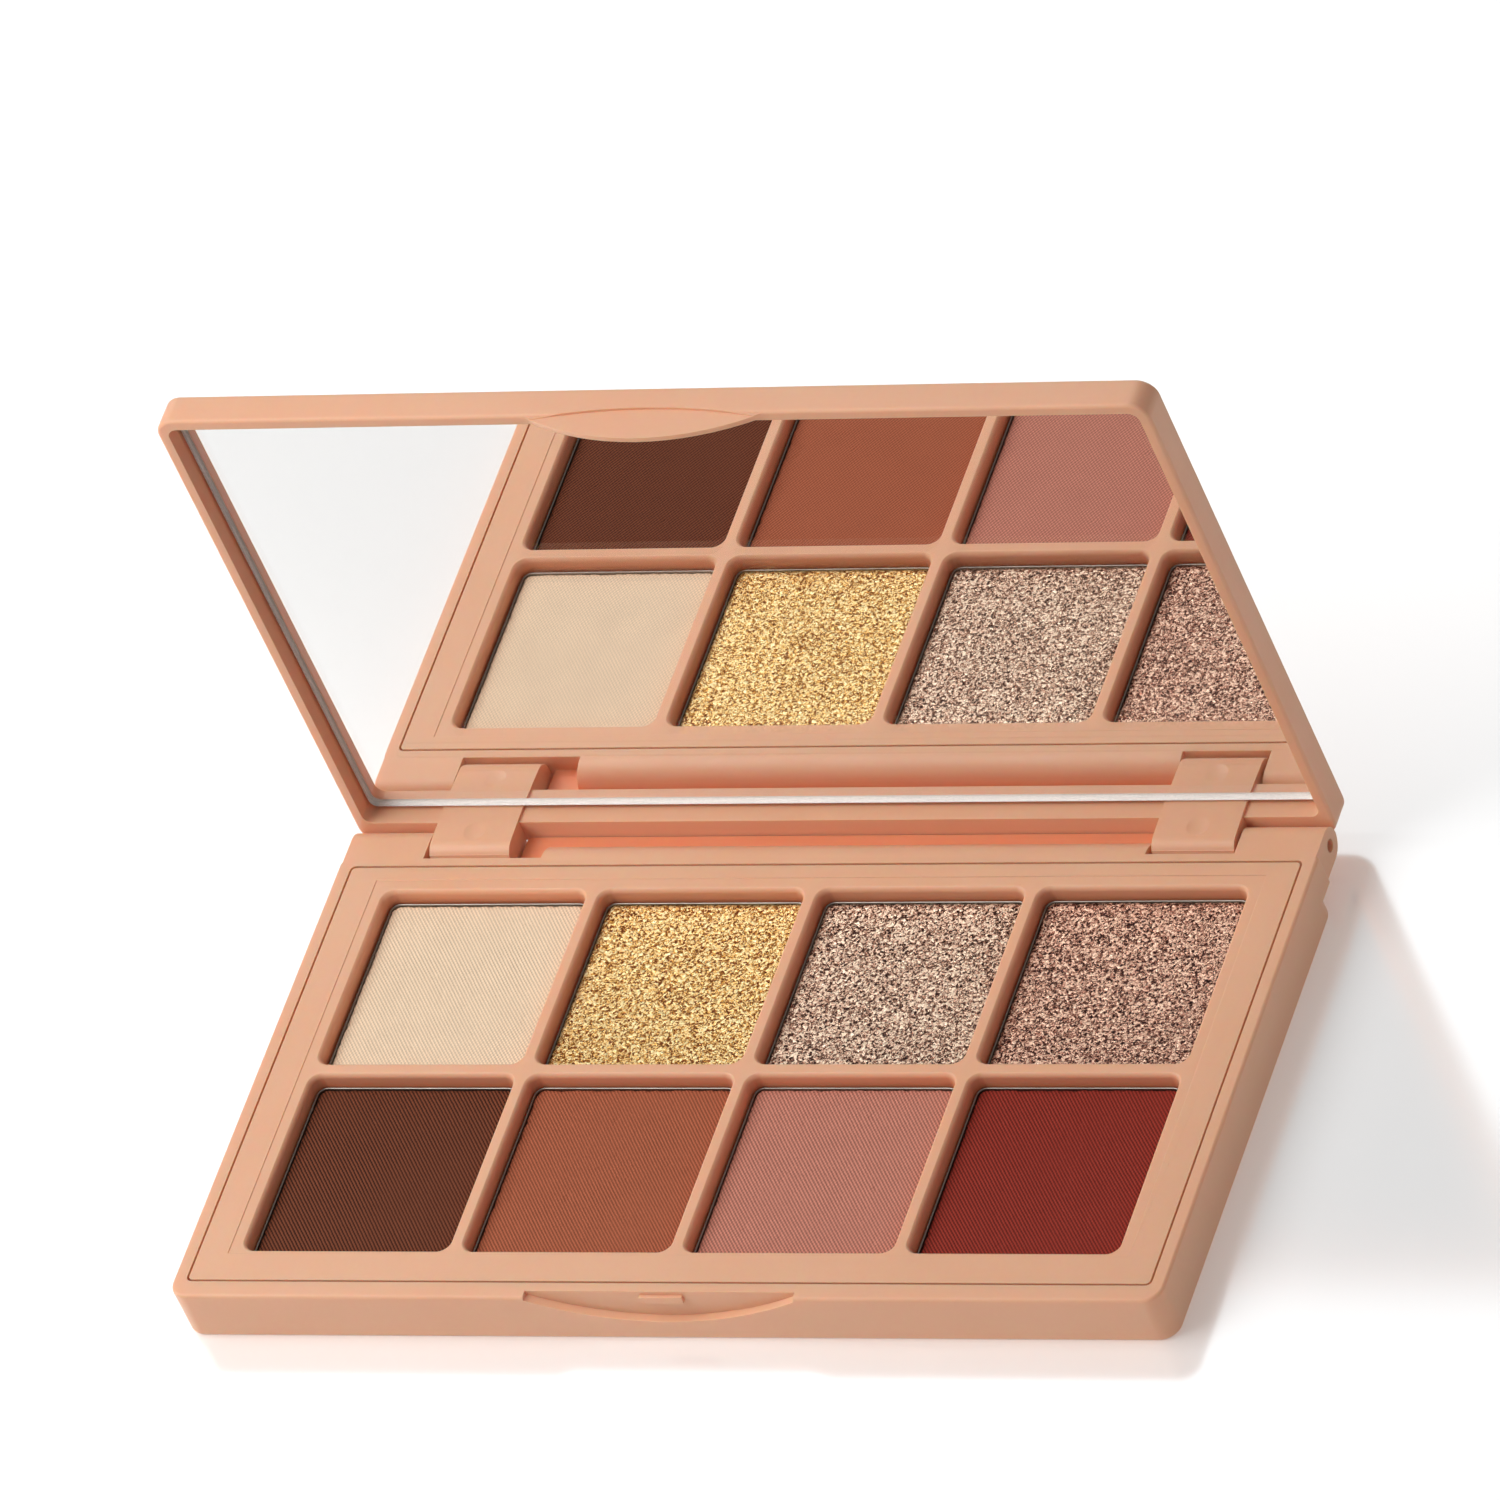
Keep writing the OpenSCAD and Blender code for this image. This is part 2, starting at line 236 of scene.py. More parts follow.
def finish_mesh(name, bm, materials, body, stands_for, smooth=True):
    """Turns bm into a piece that rides on a body and stands for CAD nodes."""
    bmesh.ops.recalc_face_normals(bm, faces=bm.faces)
    mesh = bpy.data.meshes.new(name)
    bm.to_mesh(mesh)
    bm.free()
    mesh.polygons.foreach_set("use_smooth", [smooth] * len(mesh.polygons))
    for material in materials:
        mesh.materials.append(material)
    piece = bpy.data.objects.new(name, mesh)
    bpy.context.scene.collection.objects.link(piece)
    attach(piece, body)
    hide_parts(*stands_for)
    return piece


def soften_edges(piece, width, segments):
    bevel = piece.modifiers.new("Moulded edges", "BEVEL")
    bevel.width = width
    bevel.segments = segments
    bevel.limit_method = "ANGLE"
    bevel.angle_limit = SOFTENED_ANGLE
    bevel.miter_outer = "MITER_ARC"
    bevel.use_clamp_overlap = True
    bevel.harden_normals = True
    normals = piece.modifiers.new("Flat faces", "WEIGHTED_NORMAL")
    normals.keep_sharp = True
    normals.weight = 60
    return piece


def rounded_outline(width, depth, radius, steps=6):
    """Points of a rectangle with round corners, anticlockwise, centred on the origin."""
    points = []
    for quarter, (sx, sy) in enumerate(((1, 1), (-1, 1), (-1, -1), (1, -1))):
        for step in range(steps + 1):
            turn = math.pi / 2 * (quarter + step / steps)
            points.append((
                sx * (width / 2 - radius) + radius * math.cos(turn),
                sy * (depth / 2 - radius) + radius * math.sin(turn),
            ))
    return points


def loft(bm, rings):
    """Joins rings of as many points each with quads, and returns the faces that cap both ends."""
    loops = [[bm.verts.new(point) for point in ring] for ring in rings]
    for low, high in zip(loops, loops[1:]):
        count = len(low)
        for i in range(count):
            bm.faces.new((low[i], low[(i + 1) % count], high[(i + 1) % count], high[i]))
    return bm.faces.new(list(reversed(loops[0]))), bm.faces.new(loops[-1])


# Node helpers


def socket_of(value, tree, target):
    """Feeds a socket with a number, a colour or another node's output."""
    if isinstance(value, bpy.types.NodeSocket):
        tree.links.new(value, target)
    elif target.type == "RGBA" and len(value) == 3:
        target.default_value = (*value, 1.0)
    else:
        target.default_value = value


def add_node(tree, kind, settings=None, **inputs):
    made = tree.nodes.new(kind)
    for key, value in (settings or {}).items():
        setattr(made, key, value)
    for key, value in inputs.items():
        socket_of(value, tree, made.inputs[key.replace("_", " ")])
    return made


def math_node(tree, operation, *values):
    made = tree.nodes.new("ShaderNodeMath")
    made.operation = operation
    for target, value in zip(made.inputs, values):
        socket_of(value, tree, target)
    return made.outputs[0]


def mix_colours(tree, share, first, second):
    made = tree.nodes.new("ShaderNodeMix")
    made.data_type = "RGBA"
    socket_of(share, tree, made.inputs["Factor"])
    socket_of(first, tree, made.inputs[6])
    socket_of(second, tree, made.inputs[7])
    return made.outputs[2]


def scale_colour(tree, tint, factor):
    """A colour or vector made longer or shorter by a factor."""
    made = add_node(tree, "ShaderNodeVectorMath", {"operation": "SCALE"}, Scale=factor)
    tree.links.new(tint, made.inputs[0])
    return made.outputs[0]


def remap(tree, value, low, high, to_low, to_high):
    made = add_node(tree, "ShaderNodeMapRange", {"clamp": True})
    for key, number in (("Value", value), ("From Min", low), ("From Max", high),
                        ("To Min", to_low), ("To Max", to_high)):
        socket_of(number, tree, made.inputs[key])
    return made.outputs["Result"]


def spread(tree, grain, to_low, to_high):
    """Stretches a noise value, which rarely leaves the middle of its range, between two values."""
    return remap(tree, grain, 0.3, 0.7, to_low, to_high)


def noise_value(tree, vector, scale, detail=2.0, roughness=0.5, distortion=0.0):
    return add_node(
        tree, "ShaderNodeTexNoise", Vector=vector, Scale=scale, Detail=detail,
        Roughness=roughness, Distortion=distortion,
    ).outputs["Fac"]


def make_group(name, inputs, outputs):
    """Empty node group with its sockets; returns the tree, its input node and its output node."""
    tree = bpy.data.node_groups.new(name, "ShaderNodeTree")
    kinds = {"value": "NodeSocketFloat", "colour": "NodeSocketColor", "vector": "NodeSocketVector"}
    for label, kind in inputs:
        tree.interface.new_socket(name=label, in_out="INPUT", socket_type=kinds[kind])
    for label, kind in outputs:
        tree.interface.new_socket(name=label, in_out="OUTPUT", socket_type=kinds[kind])
    return tree, tree.nodes.new("NodeGroupInput"), tree.nodes.new("NodeGroupOutput")


def use_group(tree, group, **inputs):
    made = tree.nodes.new("ShaderNodeGroup")
    made.node_tree = group
    for key, value in inputs.items():
        socket_of(value, tree, made.inputs[key.replace("_", " ")])
    return made.outputs


def group_once(maker):
    """The node group that maker builds, made the first time it is asked for."""
    name = maker.__name__
    return bpy.data.node_groups.get(name) or maker(name)


def material_once(name, maker, *values):
    return bpy.data.materials.get(name) or maker(name, *values)


def empty_material(name):
    """New material, its tree, its Principled BSDF and the piece's coordinates in millimetres."""
    material = bpy.data.materials.new(name)
    material.use_nodes = True
    tree = material.node_tree
    shader = tree.nodes["Principled BSDF"]
    place = tree.nodes.new("ShaderNodeTexCoord")
    return material, tree, shader, scale_colour(tree, place.outputs["Object"], 1 / MM)


def set_shader(tree, shader, **inputs):
    for key, value in inputs.items():
        socket_of(value, tree, shader.inputs[key.replace("_", " ")])


# Shared effects


def moulded_skin(name):
    """Colour drift, painted shade in the recesses, flow marks and spark-eroded grain of a moulded
    surface.
    """
    tree, given, result = make_group(
        name,
        [("Vector", "vector"), ("Colour", "colour"), ("Deep Colour", "colour"),
         ("Recess Colour", "colour"), ("Recess Share", "value"), ("Grain", "value")],
        [("Colour", "colour"), ("Roughness", "value"), ("Normal", "vector")],
    )
    place = given.outputs["Vector"]
    drift = noise_value(tree, place, 0.045, 3, 0.55)
    specks = noise_value(tree, place, 1.7, 4, 0.6)
    blend = math_node(
        tree, "ADD", remap(tree, drift, 0.35, 0.65, 0, 0.75),
        remap(tree, specks, 0.35, 0.7, 0, 0.25),
    )
    mixed = mix_colours(tree, blend, given.outputs["Colour"], given.outputs["Deep Colour"])
    # Painted shade: the recess colour is mixed into the plastic's colour by the recess share
    recessed = mix_colours(
        tree, given.outputs["Recess Share"], mixed, given.outputs["Recess Colour"]
    )
    tree.links.new(recessed, result.inputs["Colour"])
    smears = noise_value(tree, place, 0.22, 3, 0.6, 0.6)
    rough = math_node(
        tree, "ADD", spread(tree, smears, 0.34, 0.44), spread(tree, specks, -0.02, 0.03)
    )
    tree.links.new(rough, result.inputs["Roughness"])
    grain = noise_value(tree, place, 7.0, 3, 0.6)
    flow = noise_value(tree, place, 0.12, 1, 0.4)
    height = math_node(
        tree, "ADD", math_node(tree, "MULTIPLY", grain, given.outputs["Grain"]),
        math_node(tree, "MULTIPLY", flow, 0.02),
    )
    bump = add_node(tree, "ShaderNodeBump", Strength=0.35, Distance=0.0001, Height=height)
    tree.links.new(bump.outputs["Normal"], result.inputs["Normal"])
    return tree


def powder_grain(name):
    """Fine pressed grain with darker and lighter specks."""
    tree, given, result = make_group(
        name,
        [("Vector", "vector"), ("Colour", "colour"), ("Speckle", "value")],
        [("Colour", "colour"), ("Height", "value")],
    )
    place = given.outputs["Vector"]
    fine = noise_value(tree, place, 6.0, 4, 0.65)
    patches = noise_value(tree, place, 0.25, 3, 0.5)
    tone = math_node(
        tree, "ADD", remap(tree, fine, 0.25, 0.75, -0.5, 0.5),
        spread(tree, patches, -0.12, 0.12),
    )
    swing = math_node(tree, "MULTIPLY", tone, given.outputs["Speckle"])
    lit = math_node(tree, "ADD", swing, 1.0)
    tree.links.new(scale_colour(tree, given.outputs["Colour"], lit), result.inputs["Colour"])
    tree.links.new(fine, result.inputs["Height"])
    return tree


def linen_rows(name):
    """Diagonal rows that a press cloth leaves in a matte powder, 0 in a furrow and 1 on a ridge."""
    tree, given, result = make_group(
        name,
        [("Vector", "vector"), ("Frequency", "value"), ("Cross Share", "value"), ("Fade", "value")],
        [("Rows", "value")],
    )
    place = given.outputs["Vector"]
    bow = noise_value(tree, place, 0.03, 1, 0.4)
    shift = add_node(tree, "ShaderNodeCombineXYZ", X=math_node(tree, "MULTIPLY", bow, 1.2))
    bowed = add_node(tree, "ShaderNodeVectorMath", {"operation": "ADD"})
    tree.links.new(place, bowed.inputs[0])
    tree.links.new(shift.outputs[0], bowed.inputs[1])

    def threads(angle):
        turned = add_node(tree, "ShaderNodeMapping", Vector=bowed.outputs[0])
        turned.inputs["Rotation"].default_value = (0, 0, angle)
        wave = add_node(
            tree, "ShaderNodeTexWave",
            {"wave_type": "BANDS", "bands_direction": "X", "wave_profile": "SIN"},
            Vector=turned.outputs[0], Scale=given.outputs["Frequency"], Distortion=0.7, Detail=1.0,
        )
        wave.inputs["Detail Scale"].default_value = 2.0
        return wave.outputs["Fac"]

    woven = add_node(tree, "ShaderNodeMix")
    socket_of(given.outputs["Cross Share"], tree, woven.inputs[0])
    socket_of(threads(-THREAD_ANGLE), tree, woven.inputs[2])
    socket_of(threads(THREAD_ANGLE), tree, woven.inputs[3])
    wear = noise_value(tree, place, 0.09, 2, 0.5)
    strength = remap(tree, wear, 0.3, 0.62, given.outputs["Fade"], 1.0)
    centred = math_node(tree, "SUBTRACT", woven.outputs[0], 0.5)
    kept = math_node(tree, "ADD", math_node(tree, "MULTIPLY", centred, strength), 0.5)
    tree.links.new(kept, result.inputs["Rows"])
    return tree


def flake_bed(name):
    """Crumbs and foil flakes of a shimmer powder: their tone, their height and how dull each is;
    the dark tone in the gaps is painted shade, and the brightest tone is partly the foil's own
    brightness and partly painted glint.
    """
    tree, given, result = make_group(
        name,
        [("Vector", "vector"), ("Frequency", "value"),
         ("Dark", "colour"), ("Body", "colour"), ("Light", "colour")],
        [("Colour", "colour"), ("Height", "value"), ("Roughness", "value")],
    )
    place = given.outputs["Vector"]
    crumbs = noise_value(tree, place, given.outputs["Frequency"], 2.5, 0.6, 0.9)
    cells = add_node(
        tree, "ShaderNodeTexVoronoi", {"feature": "F1"}, Vector=place,
        Scale=math_node(tree, "MULTIPLY", given.outputs["Frequency"], 1.25),
    )
    chance = add_node(tree, "ShaderNodeSeparateColor", Color=cells.outputs["Color"])
    tone = math_node(
        tree, "ADD", remap(tree, crumbs, 0.455, 0.545, 0, 1),
        remap(tree, chance.outputs[0], 0, 1, -0.35, 0.35),
    )
    # Painted shade: low crumbs and the gaps between them go towards the dark colour; high ones go
    # towards the light colour, partly painted glint
    dim, bright = remap(tree, tone, 0.05, 0.5, 0, 1), remap(tree, tone, 0.55, 1.05, 0, 1)
    lower = mix_colours(tree, dim, given.outputs["Dark"], given.outputs["Body"])
    full = mix_colours(tree, bright, lower, given.outputs["Light"])
    tree.links.new(full, result.inputs["Colour"])
    tree.links.new(
        math_node(tree, "ADD", crumbs, math_node(tree, "MULTIPLY", chance.outputs[1], 0.16)),
        result.inputs["Height"],
    )
    tree.links.new(remap(tree, chance.outputs[2], 0, 1, 0.24, 0.5), result.inputs["Roughness"])
    return tree


def drawn_metal(name):
    """Rolling lines and dull spots of sheet and wire."""
    tree, given, result = make_group(
        name,
        [("Vector", "vector"), ("Colour", "colour")],
        [("Colour", "colour"), ("Roughness", "value"), ("Normal", "vector")],
    )
    stretched = add_node(tree, "ShaderNodeMapping", Vector=given.outputs["Vector"])
    stretched.inputs["Scale"].default_value = (0.15, 3.0, 3.0)
    lines = noise_value(tree, stretched.outputs[0], 2.4, 4, 0.6)
    dull = noise_value(tree, given.outputs["Vector"], 0.9, 3, 0.5)
    shade = math_node(
        tree, "ADD", spread(tree, dull, 0.9, 1.0), spread(tree, lines, -0.05, 0.02)
    )
    tree.links.new(scale_colour(tree, given.outputs["Colour"], shade), result.inputs["Colour"])
    tree.links.new(spread(tree, lines, 0.3, 0.45), result.inputs["Roughness"])
    bump = add_node(tree, "ShaderNodeBump", Strength=0.25, Distance=0.00004, Height=lines)
    tree.links.new(bump.outputs["Normal"], result.inputs["Normal"])
    return tree


# Materials


def well_share(tree, place):
    """Share of painted shade in a well of the plate, growing with depth from 0 at the rim."""
    level = add_node(tree, "ShaderNodeSeparateXYZ", Vector=place).outputs["Z"]
    return remap(tree, level, RIM_HEIGHT, WELL_BED_HEIGHT, 0, WELL_PAINTED_SHADE)


def trough_share(tree, place):
    """Share of painted shade in the hinge strip's trough and slots, growing with depth; it fades
    out along the ears.
    """
    x, y, level = add_node(tree, "ShaderNodeSeparateXYZ", Vector=place).outputs
    across = remap(tree, math_node(tree, "ABSOLUTE", x), *TROUGH_SPAN, 0, 1)
    inside = math_node(tree, "MULTIPLY", across, remap(tree, y, *TROUGH_FRONT, 0, 1))
    above = math_node(tree, "MULTIPLY", inside, remap(tree, level, *TROUGH_UNDERSIDE, 0, 1))
    sunk = remap(tree, level, RIM_HEIGHT, TROUGH_BED_HEIGHT, 0, TROUGH_PAINTED_SHADE)
    return math_node(tree, "MULTIPLY", above, sunk)


def case_plastic(name, painted_shade_share=None):
    """Peach plastic, with painted shade, a deeper orange, where the given share says that a point
    lies in a recess.
    """
    material, tree, shader, place = empty_material(name)
    skin = use_group(
        tree, group_once(moulded_skin), Vector=place, Colour=colours().case,
        Deep_Colour=colours().case_deep, Recess_Colour=colours().case_shade,
        Recess_Share=painted_shade_share(tree, place) if painted_shade_share else 0.0, Grain=0.16,
    )
    set_shader(
        tree, shader, Base_Color=skin["Colour"], Roughness=skin["Roughness"], Normal=skin["Normal"],
        IOR=1.46, Specular_IOR_Level=0.36,
        Subsurface_Weight=0.5, Subsurface_Scale=0.0016,
    )
    shader.inputs["Subsurface Radius"].default_value = (1.0, 0.34, 0.16)
    return material


def matte_powder(name, shade, row_shade_contrast, cross, frequency):
    material, tree, shader, place = empty_material(name)
    rows = use_group(
        tree, group_once(linen_rows), Vector=place,
        Frequency=frequency, Cross_Share=cross, Fade=0.7,
    )["Rows"]
    grain = use_group(tree, group_once(powder_grain), Vector=place, Colour=shade, Speckle=0.16)
    # Painted shade in the rows' furrows and painted highlight on their ridges, on top of the bump
    tone = remap(tree, rows, 0, 1, 1 - row_shade_contrast, 1 + 0.55 * row_shade_contrast)
    height = math_node(tree, "ADD", rows, math_node(tree, "MULTIPLY", grain["Height"], 0.5))
    bump = add_node(
        tree, "ShaderNodeBump", Strength=0.8, Distance=sizes().imprint_depth, Height=height
    )
    set_shader(
        tree, shader, Base_Color=scale_colour(tree, grain["Colour"], tone),
        Roughness=spread(tree, grain["Height"], 0.72, 0.88),
        Normal=bump.outputs["Normal"], Specular_IOR_Level=0.15,
    )
    return material


def shimmer_powder(name, body, gap_shade, light):
    material, tree, shader, place = empty_material(name)
    bed = use_group(
        tree, group_once(flake_bed), Vector=place, Frequency=MM / sizes().flake,
        Dark=gap_shade, Body=body, Light=light,
    )
    bump = add_node(
        tree, "ShaderNodeBump", Strength=1.0, Distance=sizes().flake_height, Height=bed["Height"]
    )
    set_shader(
        tree, shader, Base_Color=bed["Colour"], Roughness=bed["Roughness"],
        Normal=bump.outputs["Normal"], Metallic=0.75,
    )
    return material


def metal(name, tint):
    material, tree, shader, place = empty_material(name)
    drawn = use_group(tree, group_once(drawn_metal), Vector=place, Colour=tint)
    set_shader(
        tree, shader, Base_Color=drawn["Colour"], Roughness=drawn["Roughness"],
        Normal=drawn["Normal"], Metallic=1.0,
    )
    return material


def clear_glass(name):
    """Face of the mirror's glass; light reaches what lies behind it."""
    material, tree, shader, place = empty_material(name)
    set_shader(
        tree, shader, Transmission_Weight=1.0, IOR=1.5, Metallic=0.0,
        Roughness=remap(tree, noise_value(tree, place, 0.06, 2, 0.5), 0.4, 0.8, 0.0, 0.004),
    )
    shader.inputs["Base Color"].default_value = (0.995, 0.998, 0.997, 1)
    through = tree.nodes.new("ShaderNodeBsdfTransparent")
    path = tree.nodes.new("ShaderNodeLightPath")
    blend = tree.nodes.new("ShaderNodeMixShader")
    tree.links.new(path.outputs["Is Shadow Ray"], blend.inputs[0])
    tree.links.new(shader.outputs[0], blend.inputs[1])
    tree.links.new(through.outputs[0], blend.inputs[2])
    tree.links.new(blend.outputs[0], tree.nodes["Material Output"].inputs["Surface"])
    return material


def silvering(name):
    material, tree, shader, place = empty_material(name)
    cloud = noise_value(tree, place, 0.05, 3, 0.5)
    share = spread(tree, cloud, 0, 0.02)
    tint = mix_colours(tree, share, colours().silver, (0.8, 0.82, 0.84))
    set_shader(
        tree, shader, Base_Color=tint, Metallic=1.0,
        Roughness=remap(tree, cloud, 0.3, 0.75, 0.0, 0.006),
    )
    return material


def ground_edge(name):
    """Matt wheel-ground edge of the mirror's glass, with the marks of the wheel."""
    material, tree, shader, place = empty_material(name)
    marks = noise_value(tree, place, 4.0, 4, 0.7)
    share = spread(tree, marks, 0, 0.35)
    tint = mix_colours(tree, share, colours().ground_glass, (0.92, 0.78, 0.7))
    bump = add_node(tree, "ShaderNodeBump", Strength=0.4, Distance=0.00005, Height=marks)
    set_shader(
        tree, shader, Base_Color=tint, Roughness=spread(tree, marks, 0.18, 0.4),
        Normal=bump.outputs["Normal"],
    )
    return material


def soft_filler(name, tint, pore):
    """Set glue and foam tape: uneven, waxy and slightly porous."""
    material, tree, shader, place = empty_material(name)
    pores = noise_value(tree, place, pore, 3, 0.6)
    mixed = mix_colours(tree, spread(tree, pores, 0, 0.3), tint, (0.45, 0.4, 0.32))
    bump = add_node(tree, "ShaderNodeBump", Strength=0.5, Distance=0.0001, Height=pores)
    set_shader(
        tree, shader, Base_Color=mixed, Roughness=spread(tree, pores, 0.45, 0.8),
        Normal=bump.outputs["Normal"],
    )
    return material


def studio_floor(name):
    material, tree, shader, place = empty_material(name)
    haze = noise_value(tree, place, 0.004, 2, 0.5)
    tint = mix_colours(tree, spread(tree, haze, 0, 0.03), colours().floor, (0.9, 0.9, 0.9))
    set_shader(
        tree, shader, Base_Color=tint, Roughness=spread(tree, haze, 0.14, 0.17), IOR=1.5,
        Metallic=0.37, Emission_Color=(1.0, 1.0, 1.0), Emission_Strength=0.17,
    )
    return material


# Pieces


def moulded_piece(node, name, body, edge, painted_shade_share=None, segments=3):
    """Copy of a moulded CAD part with merged flats and softened edges, which replaces it."""
    bm = bmesh.new()
    bm.from_mesh(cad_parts[node].data)
    bmesh.ops.remove_doubles(bm, verts=bm.verts, dist=MERGE_DISTANCE)
    bmesh.ops.dissolve_limit(
        bm, angle_limit=FLAT_ANGLE, use_dissolve_boundaries=False, verts=bm.verts, edges=bm.edges
    )
    for layer in list(bm.loops.layers.uv):
        bm.loops.layers.uv.remove(layer)
    plastic = material_once("peach_" + name, case_plastic, painted_shade_share)
    piece = finish_mesh(name, bm, [plastic], body, (node,))
    stale = [a for a in piece.data.attributes if a.name in ("custom_normal", "sharp_face")]
    for attribute in stale:
        piece.data.attributes.remove(attribute)
    return soften_edges(piece, edge, segments)


def pressed_pan(shade):
    """Tray pressed from tinplate, with bent floor corners and a rounded rim."""
    low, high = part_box("pan_" + shade)
    width, depth = high.x - low.x, high.y - low.y
    wall, bend = sizes().pan_wall, sizes().pan_bend
    centre = ((low.x + high.x) / 2, (low.y + high.y) / 2)
    profile = []
    for step in range(5):
        turn = math.pi / 2 * step / 4
        profile.append((bend - bend * math.sin(turn), low.z + bend - bend * math.cos(turn)))
    roll = wall / 2
    for step in range(7):
        turn = math.pi * step / 6
        profile.append((roll - roll * math.cos(turn), high.z - roll + roll * math.sin(turn)))
    inner = bend - wall
    for step in range(4):
        turn = math.pi / 2 * step / 3
        inset = wall + inner - inner * math.cos(turn)
        profile.append((inset, low.z + bend - inner * math.sin(turn)))
    bm = bmesh.new()
    rings = []
    for inset, z in profile:
        radius = max(PAN_CORNER - inset, LEAST_CORNER)
        outline = rounded_outline(width - 2 * inset, depth - 2 * inset, radius)
        rings.append([(centre[0] + x, centre[1] + y, z) for x, y in outline])
    loft(bm, rings)
    tin = material_once("tinplate", metal, colours().tin)
    return finish_mesh("tin_pan_" + shade, bm, [tin], "base", ("pan_" + shade,))


def powder_heights(shade, x, y, edge):
    """Height of a powder's face above its level at a point, which lies edge from the border."""
    crumble = sizes().powder_crumble
    at = Vector((x / MM, y / MM, SHADES.index(shade) * 7.3))
    swell = 0.035 * MM * noise.noise(at * 0.16)
    ragged = 0.55 + 0.75 * noise.noise(at * 1.3) + 0.4 * noise.noise(at * 3.9)
    reach = max(0.16, 0.34 * ragged) * MM
    fall = crumble * max(0.25, min(1.3, 0.55 + 0.6 * ragged)) * math.exp(-((edge / reach) ** 2))
    if shade in SHIMMER_LOOKS:
        crumbs = 0.045 * noise.noise(at * 2.6) + 0.03 * noise.noise(at * 5.1)
        return swell + crumbs * MM - 0.6 * fall
    pits = max(0.0, noise.noise(at * 0.9) - 0.52) * 0.35
    return swell + 0.006 * MM * noise.noise(at * 3.0) - pits * MM - fall


def pressed_powder(shade, material):
    """Cake of powder: a dense face with swells, pits and a crumbled border, over a plain block."""
    low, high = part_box("powder_" + shade)
    width, depth = high.x - low.x, high.y - low.y
    centre_x, centre_y = (low.x + high.x) / 2, (low.y + high.y) / 2
    columns, rows = (max(8, round(span / sizes().powder_step)) for span in (width, depth))
    bm = bmesh.new()
    grid = []
    for row in range(rows + 1):
        line = []
        for column in range(columns + 1):
            x, y = width * (column / columns - 0.5), depth * (row / rows - 0.5)
            straight_x, straight_y = width / 2 - POWDER_CORNER, depth / 2 - POWDER_CORNER
            over_x, over_y = abs(x) - straight_x, abs(y) - straight_y
            if over_x > 0 and over_y > 0:
                pull = max(over_x, over_y) / math.hypot(over_x, over_y)
                x = math.copysign(straight_x + over_x * pull, x)
                y = math.copysign(straight_y + over_y * pull, y)
                edge = POWDER_CORNER - max(over_x, over_y)
            else:
                edge = min(width / 2 - abs(x), depth / 2 - abs(y))
            rise = powder_heights(shade, centre_x + x, centre_y + y, edge)
            line.append(bm.verts.new((centre_x + x, centre_y + y, high.z + rise)))
        grid.append(line)
    for row in range(rows):
        for column in range(columns):
            near, far = grid[row], grid[row + 1]
            bm.faces.new((near[column], near[column + 1], far[column + 1], far[column]))
    border = (
        grid[0][:-1] + [line[-1] for line in grid[:-1]]
        + list(reversed(grid[-1][1:])) + [line[0] for line in reversed(grid[1:])]
    )
    foot = [bm.verts.new((v.co.x, v.co.y, low.z)) for v in border]
    count = len(border)
    for i in range(count):
        bm.faces.new((border[(i + 1) % count], border[i], foot[i], foot[(i + 1) % count]))
    bm.faces.new(list(reversed(foot)))
    return finish_mesh(
        "powder_cake_" + shade, bm, [material], "base", ("powder_" + shade,)
    )


def mirror_pane():
    """Pane of glass with a ground arris and edge, and silver on its back face."""
    low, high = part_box("mirror_glass")
    width, tall, thick = high.x - low.x, high.z - low.z, high.y - low.y
    arris = sizes().glass_arris
    middle_x, middle_z = (low.x + high.x) / 2, (low.z + high.z) / 2
    bm = bmesh.new()
    rings = []
    for inset, depth in ((arris, 0), (0, arris), (0, thick - arris), (arris, thick - SILVER_GAP)):
        rings.append([
            (middle_x + x, low.y + depth, middle_z + z) for x, z in
            rounded_outline(width - 2 * inset, tall - 2 * inset, MIRROR_CORNER - inset)
        ])
    front, back = loft(bm, rings)
    front.material_index = 1
    back.material_index = 2
    finishes = [
        material_once("ground_glass_edge", ground_edge),
        material_once("clear_glass_face", clear_glass),
        material_once("mirror_silvering", silvering),
    ]
    return finish_mesh(
        "mirror_pane", bm, finishes, "lid", ("mirror_glass",), smooth=False
    )


def wire_pin(side):
    """Length of drawn wire with chamfered, slightly domed ends."""
    node = "hinge_pin_" + side
    low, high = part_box(node)
    radius = (high.z - low.z) / 2
    chamfer = sizes().pin_chamfer
    y, z = (low.y + high.y) / 2, (low.z + high.z) / 2
    end = [
        (-PIN_DOME, radius * 0.3), (0, radius - chamfer),
        (chamfer * 0.5, radius - chamfer * 0.3), (chamfer, radius),
    ]
    stations = [(low.x + step, r) for step, r in end]
    stations += [(high.x - step, r) for step, r in reversed(end)]
    turns = [2 * math.pi * i / PIN_SIDES for i in range(PIN_SIDES)]
    bm = bmesh.new()
    loft(bm, [
        [(x, y + r * math.cos(turn), z + r * math.sin(turn)) for turn in turns] for x, r in stations
    ])
    steel = material_once("pin_wire", metal, colours().steel)
    return finish_mesh("wire_pin_" + side, bm, [steel], "base", (node,))


class PALETTE_OT_base(bpy.types.Operator):
    """Build the moulded base with its hinge strip, ears and thumb notch"""

    bl_idname = "palette.base"
    bl_label = "Base"

    def execute(self, context):
        moulded_piece("base_shell", "base_moulding", "base", sizes().case_edge, trough_share)
        return {"FINISHED"}


class PALETTE_OT_plate(bpy.types.Operator):
    """Build the plate with the eight wells"""

    bl_idname = "palette.plate"
    bl_label = "Pan plate"

    def execute(self, context):
        moulded_piece("pan_plate", "plate_moulding", "base", sizes().plate_edge, well_share, 2)
        return {"FINISHED"}


